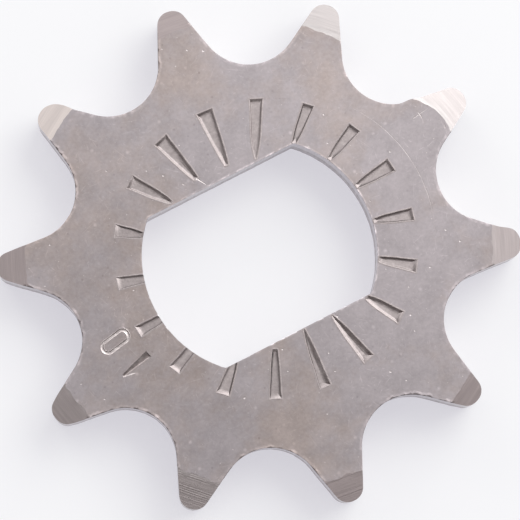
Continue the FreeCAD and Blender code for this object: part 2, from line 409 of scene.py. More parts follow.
def plate_wear(place, way_out):
    """The sheared wall's wear, and the slow wander and knocks of the plate's outline."""
    x, y = parts(place)[:2]
    wander = (noise(vector(x, y, 0.0), 0.3) - 0.35) * size["Wander"] * 2
    for centre_x, centre_y, reach, push in KNOCKS:
        away_x, away_y = x - centre_x * MM, y - centre_y * MM
        away = calc("SQRT", away_x * away_x + away_y * away_y) / (reach * MM)
        near = calc("MAXIMUM", 1 - away, 0.0)
        wander = wander - near * near * (3 - 2 * near) * push * MM
    return *sheared(place, way_out, size), wander


top, roll = size["Face height"], size["Edge roll"]
# each ring's outset and height, then its shares of the burr, the roll, the chips, the torn
# part and the wander
plate_wall = [
    (-0.24 * MM, top, 0.0, 1.0, 1.0, 0.0, 1.0),
    (-0.15 * MM, top, 0.35, 1.0, 1.0, 0.0, 1.0),
    (-0.08 * MM, top, 1.0, 1.0, 1.0, 0.0, 1.0),
    (0.0, top, 0.9, 1.0, 1.0, 0.0, 1.0),
    (0.0, top - roll * 0.12, 0.4, 0.55, 0.95, 0.0, 1.0),
    (0.0, top - roll * 0.45, 0.0, 0.15, 0.6, 0.0, 1.0),
    (0.0, top - roll, 0.0, 0.0, 0.0, 0.0, 1.0),
    (0.0, top * 0.8, 0.0, 0.0, 0.0, 0.0, 1.0),
    (0.0, top * 0.58, 0.0, 0.0, 0.0, 0.1, 1.0),
    (-0.02 * MM, top * 0.5, 0.0, 0.0, 0.0, 0.8, 1.0),
    (-0.02 * MM, top * 0.4, 0.0, 0.0, 0.0, 1.0, 1.0),
    (-0.03 * MM, top * 0.3, 0.0, 0.0, 0.0, 1.0, 1.0),
    (-0.04 * MM, top * 0.2, 0.0, 0.0, 0.0, 1.0, 1.0),
    (-0.05 * MM, top * 0.1, 0.0, 0.0, 0.0, 1.0, 1.0),
    (-0.06 * MM, 0.07 * MM, 0.0, 0.0, 0.0, 0.6, 1.0),
    (-0.14 * MM, 0.0, 0.0, 0.0, 0.0, 0.6, 1.0),
]
blank = loft(tree, outline, WALL_COLUMNS, plate_wall, plate_wear)
# the rim is the rings from 0.15 mm inside the upper edge to just below it
level = add(tree, "GeometryNodeInputIndex")[0] / WALL_COLUMNS
on_rim = calc("COMPARE", level, 3.0, 2.0)
blank = by_face(tree, blank, "rim", on_rim)
blank = add(tree, "GeometryNodeSetMaterial", {0: blank, "Material": rolled_skin})[0]
end_tree(tree, blank, sheared_steel, calc("LESS_THAN", flatness(tree), 0.6))
plate = bpy.data.objects.new("sprocket_plate", bpy.data.meshes.new("sprocket_plate"))
bpy.context.scene.collection.objects.link(plate)
run_tree(plate, tree, plate_sizes)

# Wedge marks: eighteen tapered dents, pressed in a ring by a punch that stood off the
# bore's centre. The steel that each one pushed aside stands up as a faint lip round it,
# and the bore, punched out afterwards, cuts through the marks on its left side.
mark_sizes = {
    "Face height": FACE_HEIGHT,
    "Ring X": 0.72 * MM,
    "Ring Y": 0.26 * MM,
    "First mark": math.radians(66),
    "Corner": 0.06 * MM,
    "Lip height": 0.006 * MM,
    "Wall run": 0.13 * MM,
    "Ear": 0.05 * MM,
    "Wobble": 0.07 * MM,
    "Depth share": 0.72,
}
# each mark's inner radius, outer radius, where its low and high side lie at the inner end
# and at the outer end, and its depth, in millimetres, then how far its floor leans, how
# broad its low and high side's walls are, how far its sides bow out, and how much dirt and
# painted shade darken its walls
MARKS = [
    (7.68, 12.74, 0.36, 0.46, -0.43, 0.62, 0.13, 0.0, 0.9, 0.6, 0.14, 0.5),
    (7.80, 12.73, 0.08, 0.40, -0.50, 0.86, 0.15, 0.1, 1.6, 1.1, 0.05, 0.4),
    (8.35, 12.79, 0.05, 0.46, -0.47, 0.80, 0.16, 0.1, 1.8, 1.1, 0.04, 0.5),
    (8.88, 12.77, -0.02, 0.22, -0.44, 0.70, 0.14, 0.1, 1.5, 1.0, 0.1, 0.8),
    (10.42, 12.78, -0.13, 0.36, -0.50, 0.52, 0.10, 0.1, 0.7, 0.5, 0.04, 1.1),
    (9.30, 12.82, -0.02, 0.38, -0.47, 0.54, 0.09, 0.2, 0.9, 0.4, 0.03, 1.1),
    (9.30, 12.83, 0.10, 0.30, -0.49, 0.45, 0.15, 0.2, 1.3, 0.6, 0.1, 1.0),
    (9.30, 12.80, -0.24, 0.40, -0.54, 0.42, 0.15, 0.2, 1.3, 0.6, 0.02, 1.0),
    (9.30, 12.79, 0.06, 0.34, -0.51, 0.58, 0.15, 0.15, 1.1, 0.6, 0.07, 1.1),
    (8.55, 12.67, 0.02, 0.46, -0.41, 0.53, 0.12, -0.2, 0.55, 1.0, 0.03, 1.5),
    (7.52, 12.67, 0.18, 0.27, -0.50, 0.42, 0.17, 0.0, 0.5, 2.3, 0.08, 1.2),
    (7.96, 12.68, 0.12, 0.21, -0.60, 0.38, 0.17, 0.05, 1.2, 2.2, 0.09, 0.9),
    (9.46, 12.74, -0.05, 0.33, -0.61, 0.45, 0.15, 0.05, 1.2, 1.8, 0.08, 0.7),
    (9.58, 12.75, 0.02, 0.44, -0.47, 0.55, 0.14, 0.1, 0.9, 1.0, 0.04, 1.2),
    (9.46, 12.75, 0.04, 0.38, -0.47, 0.52, 0.15, 0.1, 0.55, 1.1, 0.07, 1.15),
    (9.34, 12.77, 0.05, 0.42, -0.40, 0.72, 0.15, 0.1, 0.55, 1.2, 0.06, 1.15),
    (9.34, 12.75, 0.05, 0.40, -0.38, 0.66, 0.15, 0.1, 0.55, 1.1, 0.07, 1.15),
    (9.28, 12.75, 0.12, 0.46, -0.38, 0.52, 0.15, 0.0, 0.5, 0.55, 0.06, 1.15),
]
# a mark's outline: four steps round each corner and some along each side, where each step
# has its share of the way to the outer end and the bearing that its wall faces, in degrees
SIDE_STEPS = [0.88, 0.74, 0.6, 0.46, 0.34, 0.22, 0.1]
MARK_OUTLINE = [(1.0, bearing) for bearing in (0, 30, 60, 90)]
MARK_OUTLINE += [(share, 90) for share in SIDE_STEPS]
MARK_OUTLINE += [(0.0, bearing) for bearing in (90, 120, 150, 180, 180, 210, 240, 270)]
MARK_OUTLINE += [(share, 270) for share in reversed(SIDE_STEPS)]
MARK_OUTLINE += [(1.0, bearing) for bearing in (270, 300, 330, 360)]
MARK_COLUMNS = len(MARK_OUTLINE)
# points closer than this become one
WELD = 0.0005 * MM


def pressed_pattern(tree, place):
    """Steel that a punch has squeezed: smoother than the skin, with dirt and painted shade on its
    walls.
    """
    dirt_and_shade = noise(place, 2.2, 4.0)
    grain = noise(place, 6.0, 2.0)
    dark, pale = (0.43, 0.38, 0.375), (0.55, 0.495, 0.485)
    tone = mixed(tree, (dirt_and_shade - 0.35) * 2.2, dark, pale)
    # painted shade with dirt: the walls of the marks are darkened, in patches
    crust_and_shade = read(tree, "dirt_and_shade") * calc("MINIMUM", dirt_and_shade * 1.9, 1.0)
    light = (1.0 + (grain - 0.5) * 0.35) * (1 - crust_and_shade * 0.6)
    return brightened(tree, tone, light), 0.46 + dirt_and_shade * 0.14, grain + dirt_and_shade


pressed_steel = steel("pressed_steel", pressed_pattern, 0.008)


def repeated(tree, solid, points_each, count):
    """Real copies of a solid, each point's copy number, and its number in that copy."""
    spots = add(tree, "GeometryNodePoints", {"Count": count})[0]
    copies = add(tree, "GeometryNodeInstanceOnPoints", {"Points": spots, "Instance": solid})[0]
    copies = add(tree, "GeometryNodeRealizeInstances", {0: copies})[0]
    index = add(tree, "GeometryNodeInputIndex")[0]
    copy = calc("FLOOR", (index + 0.5) / points_each)
    return copies, copy, index - copy * points_each


def boolean(tree, body, tools, operation, name, crossing=False):
    """Cut tools out of the body or weld them on, and mark the faces that they leave.

    Crossing is for tools that run through one another.
    """
    node = tree.nodes.new("GeometryNodeMeshBoolean")
    node.operation = operation
    node.solver = "EXACT"
    feed(node.inputs["Self Intersection"], crossing)
    for tool in tools:
        sockets = {0: tool, "Name": name, "Value": True}
        tool = add(
            tree, "GeometryNodeStoreNamedAttribute", sockets, data_type="BOOLEAN", domain="FACE"
        )[0]
        feed(node.inputs["Mesh 2"], tool)
    feed(node.inputs["Mesh 1" if operation == "DIFFERENCE" else "Mesh 2"], body)
    sockets = {0: Field(node.outputs[0]), "Distance": WELD}
    return add(tree, "GeometryNodeMergeByDistance", sockets)[0]


def left_by(tree, name):
    """The faces that the tools of that name left."""
    return add(tree, "GeometryNodeInputNamedAttribute", {0: name}, data_type="BOOLEAN")[0]


def wedges(tree, size, section):
    """A closed wedge for each mark: a ring for each (outset, rise, share of depth, share of dirt
    and painted shade).
    """
    tube = add(
        tree,
        "GeometryNodeMeshCylinder",
        {"Vertices": MARK_COLUMNS, "Side Segments": len(section) - 1},
    )[0]
    solids, mark, index = repeated(tree, tube, MARK_COLUMNS * len(section), len(MARKS))
    level = calc("FLOOR", (index + 0.5) / MARK_COLUMNS)
    column = index - level * MARK_COLUMNS
    outer = pick(column, [share for share, bearing in MARK_OUTLINE])
    bend = pick(column, [math.radians(bearing) for share, bearing in MARK_OUTLINE])
    side = 1 - 2 * calc("GREATER_THAN", column, MARK_COLUMNS / 2 - 0.5)
    inner_end, outer_end, inner_low, inner_high, outer_low, outer_high, depth = (
        pick(mark, [row[number] * MM for row in MARKS]) for number in range(7)
    )
    lean, low_run, high_run, bow, dirt_and_shade_share = (
        pick(mark, [row[number] for row in MARKS]) for number in range(7, 12)
    )
    low = inner_low + outer * (outer_low - inner_low)
    high = inner_high + outer * (outer_high - inner_high)
    outset, rise, share, dirt_and_shade = (pick(level, column) for column in zip(*section))
    # the broader a side's wall is, the less dirt and painted shade darken it
    side_run = low_run + (side + 1) / 2 * (high_run - low_run)
    inset = calc("MINIMUM", outset, 0.0) * (side_run - 1)
    dirt_and_shade = dirt_and_shade * calc("MAXIMUM", calc("MINIMUM", 1.9 - side_run * 1.6, 1.0), 0.0)
    dirt_and_shade = dirt_and_shade * dirt_and_shade_share * calc("ABSOLUTE", calc("SINE", bend))
    # the sides bow out most at a third of their length, where 6.75 makes the curve 1
    bow = bow * MM * outer * (1 - outer) * (1 - outer) * 6.75
    half = calc("MAXIMUM", (high - low) / 2 + bow + outset + inset, (high - low) * 0.04)
    # the corners are small arcs, and the walls at both ends run further in than the sides'
    bend_radius = calc("MAXIMUM", size["Corner"] + outset, 0.006 * MM)
    bend_radius = calc("MINIMUM", bend_radius, half * 0.95)
    way_out = outer * 2 - 1
    further_in = calc("MINIMUM", outset, 0.0) * 0.8
    end = inner_end + outer * (outer_end - inner_end)
    end = end + way_out * (outset + further_in - bend_radius)
    ear = size["Ear"] * outer * calc("ABSOLUTE", calc("SINE", bend * 2)) * (1 - share)
    across = side * (half - bend_radius + ear) + bend_radius * calc("SINE", bend)
    wobble = (noise(vector(end, side * MM, mark * 3 * MM), 1.4, 3.0) - 0.5) * size["Wobble"]
    across = across + wobble
    # a mark is shallower where it is narrow, and its floor leans to one side
    narrowing = calc("MINIMUM", (high - low) / (size["Wall run"] * 2.4) + 0.15, 1.0)
    sunk = size["Depth share"] * depth * share * narrowing
    sunk = sunk * (1 + lean * across / ((high - low) / 2))
    where = turned(
        end + bend_radius * calc("COSINE", bend) + ear,
        (low + high) / 2 + across,
        size["First mark"] + mark * (math.tau / len(MARKS)),
        size["Face height"] + rise - sunk,
        (size["Ring X"], size["Ring Y"]),
    )
    solids = add(tree, "GeometryNodeSetPosition", {0: solids, "Position": where})[0]
    return by_face(tree, solids, "dirt_and_shade", dirt_and_shade)


tree, size = start_tree("WedgeMarks", mark_sizes)
run, lip = size["Wall run"], size["Lip height"]
# each ring's outset, its rise above the face, and its shares of the depth and of the dirt and
# painted shade
lip_section = [
    (-0.02 * MM, lip, 0.0, 0.0),
    (0.05 * MM, lip, 0.0, 0.0),
    (0.1 * MM, lip * 0.6, 0.0, 0.0),
    (0.2 * MM, lip * -1.0, 0.0, 0.0),
]
dent_section = [
    (0.1 * MM, 0.1 * MM, 0.0, 0.0),
    (0.05 * MM, lip * 1.15, 0.0, 0.0),
    (0.02 * MM, lip * 0.6, 0.0, 0.0),
    (0.0, 0.0, 0.04, 0.4),
    (run * -0.3, 0.0, 0.26, 0.8),
    (run * -0.65, 0.0, 0.7, 1.0),
    (run * -1.0, 0.0, 0.9, 0.9),
    (run * -1.6, 0.0, 0.99, 0.4),
    (run * -2.3, 0.0, 1.0, 0.0),
]
marked = boolean(tree, size["Mesh"], [wedges(tree, size, lip_section)], "UNION", "pressed")
marked = boolean(tree, marked, [wedges(tree, size, dent_section)], "DIFFERENCE", "pressed")
end_tree(tree, marked, pressed_steel, left_by(tree, "pressed"))
run_tree(plate, tree, mark_sizes)

# Tooth count: a plain 1 and 0, each struck by hand with a steel number punch. The 0 is a
# thin groove with its lips pushed up, and the 1 is deeper at the side the punch leaned to.
digit_sizes = {
    "Face height": FACE_HEIGHT,
    "Zero X": -14.17 * MM,
    "Zero Y": -0.92 * MM,
    "Zero turn": math.radians(10),
    "Zero length": 2.5 * MM,
    "Zero width": 1.02 * MM,
}
# each straight stroke's two ends, its half widths there and its depth, in millimetres, and
# the dirt and painted shade in it: the 1's stem, its flag and the bright edge beside it, and
# the two short marks where the punch of the 0 slipped
STROKES = [
    ((-14.86, -3.74), (-12.15, -3.1), 0.13, 0.36, 0.24, 0.3),
    ((-13.9, -4.08), (-14.95, -3.86), 0.1, 0.14, 0.03, 0.0),
    ((-12.13, -3.41), (-14.3, -3.76), 0.06, 0.07, 0.035, 0.0),
    ((-13.05, -0.08), (-13.6, -0.04), 0.05, 0.03, 0.02, 0.0),
    ((-12.74, -0.56), (-13.02, -0.12), 0.03, 0.05, 0.02, 0.0),
]
# half of the outline across the groove of the 0 and of the one across its lips, as places
# aside and up in millimetres, each with its mirror image added
GROOVE = [(0.2, 0.06), (0.145, 0.004), (0.05, -0.019)]
GROOVE += [(-aside, up) for aside, up in reversed(GROOVE)]
LIPS = [(-0.21, -0.03), (-0.165, 0.003), (-0.13, 0.006)]
LIPS += [(-aside, up) for aside, up in reversed(LIPS)]
# the points round the 0, and how far a wedge's tool stands clear of the face
ZERO_POINTS = 48
CLEAR = 0.02 * MM


def struck_pattern(tree, place):
    """Steel that a hand punch has struck: rubbed bright, with some dirt and painted shade in it.
    """
    dirt_and_shade = noise(place, 1.8, 3.0)
    grain = noise(place, 6.0, 2.0)
    dull, rubbed = (0.56, 0.50, 0.49), (0.86, 0.79, 0.77)
    tone = mixed(tree, (dirt_and_shade - 0.4) * 3, dull, rubbed)
    # painted shade with dirt darkens the strokes that keep it
    light = (0.95 + (grain - 0.5) * 0.4) * (1 - read(tree, "dirt_and_shade") * 0.55)
    return brightened(tree, tone, light), 0.45, grain + dirt_and_shade


struck_steel = steel("struck_steel", struck_pattern, 0.008)


def along_path(tree, path, face, outline):
    """A solid that follows a path, with its section's outline in millimetres."""
    ring = add(tree, "GeometryNodeCurvePrimitiveCircle", {"Resolution": len(outline)})[0]
    index = add(tree, "GeometryNodeInputIndex")[0]
    across, height = (pick(index, [value * MM for value in row]) for row in zip(*outline))
    down = vector(across, 0 - height, 0.0)
    ring = add(tree, "GeometryNodeSetPosition", {0: ring, "Position": down})
    path = add(tree, "GeometryNodeSetCurveNormal", {0: path}, mode="Z_UP")[0]
    solid = add(tree, "GeometryNodeCurveToMesh", {0: path, 1: ring[0], "Fill Caps": True})[0]
    lift = vector(0.0, 0.0, face)
    return add(tree, "GeometryNodeSetPosition", {0: solid, "Offset": lift})[0]


def struck_wedge(tree, face, start, stop, first_half, last_half, depth, dirt_and_shade=0.0):
    """A closed wedge from start to stop, with its long slope on the left side."""
    box = add(tree, "GeometryNodeMeshCube", {"Size": (1.0, 1.0, 1.0)})[0]
    x, y, z = parts(add(tree, "GeometryNodeInputPosition")[0])
    length = math.dist(start, stop)
    share = x + 0.5
    half = (first_half + share * (last_half - first_half)) * MM
    sunk = (0.35 + 0.65 * share) * depth * MM
    low = calc("LESS_THAN", z, 0.0)
    aside = y * 2 * half * (1 - low * 0.9) - low * half * 0.7
    east, north = (stop[0] - start[0]) / length, (stop[1] - start[1]) / length
    place = vector(
        (start[0] + share * length * east) * MM - aside * north,
        (start[1] + share * length * north) * MM + aside * east,
        face + (1 - low) * CLEAR - low * sunk,
    )
    box = add(tree, "GeometryNodeSetPosition", {0: box, "Position": place})[0]
    return by_face(tree, box, "dirt_and_shade", dirt_and_shade)


tree, size = start_tree("ToothCount", digit_sizes)
face = size["Face height"]
length, width = size["Zero length"], size["Zero width"]
loop = add(tree, "GeometryNodeCurvePrimitiveCircle", {"Resolution": ZERO_POINTS})[0]
angle = add(tree, "GeometryNodeInputIndex")[0] * (math.tau / ZERO_POINTS)
right = calc("SIGN", calc("COSINE", angle))
where = turned(
    right * (length - width) / 2 + calc("COSINE", angle) * width / 2,
    calc("SINE", angle) * width / 2,
    size["Zero turn"],
    0.0,
    (size["Zero X"], size["Zero Y"]),
)
zero = add(tree, "GeometryNodeSetPosition", {0: loop, "Position": where})[0]
struck = boolean(tree, size["Mesh"], [along_path(tree, zero, face, LIPS)], "UNION", "struck")
tools = [along_path(tree, zero, face, GROOVE)]
tools += [struck_wedge(tree, face, *stroke) for stroke in STROKES]
for tool in tools:
    struck = boolean(tree, struck, [tool], "DIFFERENCE", "struck")
end_tree(tree, struck, struck_steel, left_by(tree, "struck"))
run_tree(plate, tree, digit_sizes)

# Handling marks: years of knocking about left a long scratch that runs round the axis,
# a few short ones, two nicks, and small dents all over both faces, with bare steel in each.
handling_sizes = {
    "Face height": FACE_HEIGHT,
    "Dent gap": 1.3 * MM,
    "Dent share": 0.5,
    "Dent radius": 0.09 * MM,
    "Dent depth": 0.03 * MM,
    "Seed": 7,
}
# each scratch's first radius and angle, its last radius and angle, how far it bows out, and
# its half width, in millimetres and degrees
SCRATCHES = [
    (14.7, 34.3, 14.92, -22.5, 0.38, 0.06),
    (13.35, 60.7, 13.54, 51.1, 0.0, 0.04),
    (18.16, 15.2, 18.03, 12.7, 0.05, 0.1),
    (11.44, -66.3, 12.14, -64.7, 0.0, 0.05),
    (10.44, -102.1, 10.26, -98.9, 0.0, 0.05),
    (19.3, 8.6, 19.1, 7.0, 0.0, 0.09),
    (16.9, 84.0, 17.6, 80.0, 0.0, 0.025),
    (15.1, 58.0, 15.3, 47.0, 0.06, 0.02),
]
# the rings along a scratch, its least half width, and how far its tool stands clear of the
# face, in millimetres
SCRATCH_LEVELS = 40
THINNEST, ABOVE_FACE = 0.008, 0.012
DEGREE = math.pi / 180
# each straight nick's two ends, its half widths there and its depth, in millimetres
NICKS = [
    ((18.41, 4.59), (16.95, 4.38), 0.04, 0.07, 0.035),
    ((-1.29, 7.37), (-1.79, 8.25), 0.03, 0.09, 0.04),
]


def nicked_pattern(tree, place):
    """Bare steel in a scratch or a dent."""
    grain = noise(place, 6.0, 2.0)
    dull, bare = (0.55, 0.50, 0.49), (0.68, 0.63, 0.62)
    tone = mixed(tree, grain, dull, bare)
    return tone, 0.36 + grain * 0.1, grain


nicked_steel = steel("nicked_steel", nicked_pattern, 0.004)

tree, size = start_tree("HandlingMarks", handling_sizes)
prism = add(
    tree, "GeometryNodeMeshCylinder", {"Vertices": 3, "Side Segments": SCRATCH_LEVELS - 1}
)[0]
prisms, scratch, index = repeated(tree, prism, 3 * SCRATCH_LEVELS, len(SCRATCHES))
level = calc("FLOOR", (index + 0.5) / 3)
corner = index - level * 3
way = level / (SCRATCH_LEVELS - 1)
first, first_angle, last, last_angle, bow, half = (
    pick(scratch, [row[number] for row in SCRATCHES]) for number in range(6)
)
radius = first + (last - first) * way + 4 * bow * way * (1 - way)
fade = calc("SQRT", way * (1 - way) * 4)
pressure = noise(vector(way * 0.02, scratch * 0.01, 0.0), 0.6) * 1.6 - 0.1
breadth = calc("MAXIMUM", half * fade * pressure, THINNEST)
sunk = 0 - calc("MAXIMUM", breadth * 0.45 - 0.006, 0.003)
where = turned(
    (radius + breadth * pick(corner, [0.0, -1.0, 1.0])) * MM,
    0.0,
    (first_angle + (last_angle - first_angle) * way) * DEGREE,
    size["Face height"] + pick(corner, [sunk, ABOVE_FACE, ABOVE_FACE]) * MM,
)
prisms = add(tree, "GeometryNodeSetPosition", {0: prisms, "Position": where})[0]
# the dents fall on the level faces only, with a gap between them
spots = add(
    tree,
    "GeometryNodeDistributePointsOnFaces",
    {
        0: size["Mesh"],
        "Selection": calc("GREATER_THAN", flatness(tree), 0.999),
        "Distance Min": size["Dent gap"],
        "Density Max": 2e6,
        "Density Factor": size["Dent share"],
        "Seed": size["Seed"],
    },
    distribute_method="POISSON",
)[0]
ball = add(tree, "GeometryNodeMeshIcoSphere", {"Radius": 1.0, "Subdivisions": 2})[0]
# a dent's luck gives its size, and it is stretched and turned a little at random
ranges = [(0.0, 1.0), (0.6, 1.5), (0.0, 6.28)]
luck, stretch, turn = (
    add(
        tree,
        "FunctionNodeRandomValue",
        {"Min": low, "Max": high, "Seed": size["Seed"] + draw},
    )[1]
    for draw, (low, high) in enumerate(ranges)
)
dent_radius = size["Dent radius"] * (0.35 + luck * luck * luck)
depth = size["Dent depth"] * (0.4 + luck * luck)
scale = vector(dent_radius * stretch, dent_radius, depth)
rise = calc("SIGN", parts(add(tree, "GeometryNodeInputPosition")[0])[2] - MM) * depth * 0.6
spots = add(tree, "GeometryNodeSetPosition", {0: spots, "Offset": vector(0.0, 0.0, rise)})[0]
# the dents must not bring a second copy of what the plate's own faces keep
for name in ("rim", "dirt_and_shade", "pressed", "struck"):
    spots = add(tree, "GeometryNodeRemoveAttribute", {0: spots, "Name": name})[0]
dents = add(
    tree,
    "GeometryNodeInstanceOnPoints",
    {"Points": spots, "Instance": ball, "Scale": scale, "Rotation": vector(0.0, 0.0, turn)},
)[0]
dents = add(tree, "GeometryNodeRealizeInstances", {0: dents})[0]
scarred = boolean(tree, size["Mesh"], [dents], "DIFFERENCE", "nicked")
for nick in NICKS:
    tool = struck_wedge(tree, size["Face height"], *nick)
    scarred = boolean(tree, scarred, [tool], "DIFFERENCE", "nicked")
scarred = boolean(tree, scarred, [prisms], "DIFFERENCE", "nicked", crossing=True)
# the crossing cut can leave a stray face of no area, whose edges belong to no other face
stray = calc("LESS_THAN", add(tree, "GeometryNodeInputMeshEdgeNeighbors")[0], 1.5)
sockets = {0: scarred, "Selection": stray}
scarred = add(tree, "GeometryNodeDeleteGeometry", sockets, domain="FACE")[0]
end_tree(tree, scarred, nicked_steel, left_by(tree, "nicked"))
run_tree(plate, tree, handling_sizes)

# Bore: a round hole with two flats for its shaft, punched out of the marked plate. Its wall
# is sheared like the outline, with a rolled upper edge, a torn lower part and no burr.
bore_sizes = {
    "Face height": FACE_HEIGHT,
    "Bore radius": BORE_RADIUS,
    "Half flats": BORE_HALF_FLATS,
    "Edge roll": 0.03 * MM,
    "Burr": 0.0,
    "Heavy side": math.radians(230),
    "Chipping": 0.04 * MM,
    "Tear": 0.04 * MM,
}
BORE_COLUMNS = 420
tree, size = start_tree("Bore", bore_sizes)
top, roll, flat = size["Face height"], size["Edge roll"], size["Half flats"]
ring = add(
    tree,
    "GeometryNodeCurvePrimitiveCircle",
    {"Resolution": BORE_COLUMNS, "Radius": size["Bore radius"]},
)[0]
x, y = parts(add(tree, "GeometryNodeInputPosition")[0])[:2]
squared = vector(x, calc("MAXIMUM", calc("MINIMUM", y, flat), 0 - flat), 0.0)
ring = add(tree, "GeometryNodeSetPosition", {0: ring, "Position": squared})[0]


def bore_wear(place, way_out):
    """The roll, chips and torn part, which widen the punch, and no burr."""
    burr, *others = sheared(place, way_out, size)
    return burr, *(0 - wear for wear in others)


# each ring's outset and height, then its shares of the burr, the roll, the chips and the
# torn part
bore_wall = [
    (0.0, top + 0.1 * MM, 0.0, 1.0, 1.0, 0.0),
    (0.0, top - roll * 0.14, 0.0, 0.5, 0.95, 0.0),
    (0.0, top - roll * 0.5, 0.0, 0.14, 0.6, 0.0),
    (0.0, top - roll, 0.0, 0.0, 0.0, 0.0),
    (0.0, top * 0.8, 0.0, 0.0, 0.0, 0.0),
    (0.0, top * 0.58, 0.0, 0.0, 0.0, 0.1),
    (0.02 * MM, top * 0.5, 0.0, 0.0, 0.0, 0.8),
    (0.02 * MM, top * 0.4, 0.0, 0.0, 0.0, 1.0),
    (0.03 * MM, top * 0.3, 0.0, 0.0, 0.0, 1.0),
    (0.04 * MM, top * 0.2, 0.0, 0.0, 0.0, 1.0),
    (0.05 * MM, top * 0.1, 0.0, 0.0, 0.0, 1.0),
    (0.06 * MM, 0.07 * MM, 0.0, 0.0, 0.0, 0.6),
    (0.22 * MM, -0.1 * MM, 0.0, 0.0, 0.0, 0.6),
]
punch = loft(tree, ring, BORE_COLUMNS, bore_wall, bore_wear)
pierced = boolean(tree, size["Mesh"], [punch], "DIFFERENCE", "punched")
end_tree(tree, pierced, sheared_steel, left_by(tree, "punched"))
run_tree(plate, tree, bore_sizes)

# Ground tips: each tooth's end was dressed by hand on a wheel, on both faces, so no two
# slopes are quite alike. The wheel left fine lines on them all, and some bare and bright.
tip_sizes = {
    "Face height": FACE_HEIGHT,
    "Width": 8.0 * MM,
    "Line depth": 0.002 * MM,
    "Ragged start": 0.04 * MM,
    "Seed": 3,
}
# each tooth's angle, where its slope starts in millimetres, its fall in degrees, how far its
# start turns aside and bows back, how deep its lines and its file marks are, and how bare
# its steel is
TIPS = [
    (11.4, 19.45, 6.0, -0.13, -0.125, 0.05, 0.0, 0.3),
    (47.4, 19.72, 3.5, 0.11, -0.02, 0.4, 0.0, 0.33),
    (83.4, 20.3, 2.0, 0.0, 0.0, 0.25, 0.0, 0.0),
    (119.4, 20.1, 6.0, 0.0, 0.0, 1.2, 0.0, 0.85),
    (155.4, 19.7, 4.0, 0.0, 0.0, 0.4, 0.0, 0.0),
    (191.4, 19.7, 4.5, 0.0, 0.0, 0.4, 0.0, 0.1),
    (227.4, 19.35, 4.0, 0.06, 0.0, 0.6, 0.006, 0.15),
    (263.4, 19.9, 3.0, 0.0, 0.0, 1.0, 0.001, 0.0),
    (299.4, 20.3, 7.5, 0.0, 0.0, 0.4, 0.0, 0.0),
    (335.4, 19.7, 2.5, 0.0, 0.0, 0.6, 0.0, 0.1),
]
# the strips along a slope and the cells across it, how far the wheel reaches, how far it
# runs in before the slope's start, how far a ragged start goes, and a file mark's strips
STRIPS, CELLS, REACH = 40, 32, 3.6 * MM
RUN_IN, RAGGED_REACH, FILE_STRIPS = 0.3 * MM, 0.45 * MM, 2


def ground_pattern(tree, place):
    """Wheel-dressed steel: fine lines round the axis, some of them bright or dark."""
    x, y = parts(place)[:2]
    radius = calc("SQRT", x * x + y * y)
    round_axis = vector(radius, calc("ARCTAN2", y, x) * 0.6 * MM, 0.0)
    fine = noise(round_axis, 14.0, 2.0)
    coarse = noise(round_axis, 3.0, 2.0)
    bare = read(tree, "bare")
    skin, white, warm = (0.44, 0.377, 0.371), (0.76, 0.765, 0.75), (0.78, 0.70, 0.66)
    tone = mixed(tree, bare, skin, mixed(tree, (bare - 0.4) * 2.2, white, warm))
    light = 0.97 + (fine - 0.5) * 0.3 + (coarse - 0.5) * 0.25
    return brightened(tree, tone, light), 0.3 + coarse * 0.1, fine + coarse


ground_steel = steel("ground_steel", ground_pattern, 0.004)

tree, size = start_tree("GroundTips", tip_sizes)
grid = {"Size": (1.0, 1.0, 1.0), "Vertices X": STRIPS + 1, "Vertices Y": CELLS + 1}
block = add(tree, "GeometryNodeMeshCube", grid)[0]
sockets = {0: block, "Name": "cell", "Value": add(tree, "GeometryNodeInputPosition")[0]}
kept = add(tree, "GeometryNodeStoreNamedAttribute", sockets, data_type="FLOAT_VECTOR")[0]
spots = add(tree, "GeometryNodePoints", {"Count": 2 * len(TIPS)})[0]
sockets = {0: spots, "Name": "cut", "Value": add(tree, "GeometryNodeInputIndex")[0]}
spots = add(tree, "GeometryNodeStoreNamedAttribute", sockets)[0]
blocks = add(tree, "GeometryNodeInstanceOnPoints", {"Points": spots, "Instance": kept})[0]
blocks = add(tree, "GeometryNodeRealizeInstances", {0: blocks})[0]
cut = add(tree, "GeometryNodeInputNamedAttribute", {0: "cut"})[0]
kept = add(tree, "GeometryNodeInputNamedAttribute", {0: "cell"}, data_type="FLOAT_VECTOR")[0]
cell = parts(kept)
below = calc("GREATER_THAN", cut, len(TIPS) - 0.5)
tip = cut - below * len(TIPS)
angle, start, fall, aside, bow, lines, filed, bare = (
    pick(tip, column) for column in zip(*TIPS)
)
out = (cell[0] + 0.5) * REACH - RUN_IN
across = cell[1] * size["Width"]
slope = calc("TANGENT", fall * DEGREE)
start = start * MM + aside * across + bow * across * across / MM
line = add(
    tree,
    "FunctionNodeRandomValue",
    {"Min": -1.0, "Max": 1.0, "ID": cell[0] * STRIPS + cut * 100, "Seed": size["Seed"]},
)[1]
tooth_of_file = calc("FRACT", (cell[0] + 0.501) * (STRIPS / FILE_STRIPS)) * filed * MM
near_start = calc("MAXIMUM", 1 - out / RAGGED_REACH, 0.0)
ragged = noise(vector(across, cut * MM, 0.0), 1.1, 4.0) - 0.5
ragged = ragged * near_start * size["Ragged start"]
bare = bare * (1 + near_start * 0.5)
drop = out * slope + line * lines * size["Line depth"] + tooth_of_file + ragged
over = calc("GREATER_THAN", cell[2], 0.0)
height = over * MM - (1 - over) * drop
flip = 1 - 2 * below
where = turned(
    start + out,
    across * flip,
    angle * DEGREE,
    size["Face height"] / 2 + flip * (size["Face height"] / 2 + height),
)
blocks = add(tree, "GeometryNodeSetPosition", {0: blocks, "Position": where})[0]
blocks = by_face(tree, blocks, "bare", bare)
dressed = boolean(tree, size["Mesh"], [blocks], "DIFFERENCE", "ground")
end_tree(tree, dressed, ground_steel, left_by(tree, "ground"))
run_tree(plate, tree, tip_sizes)

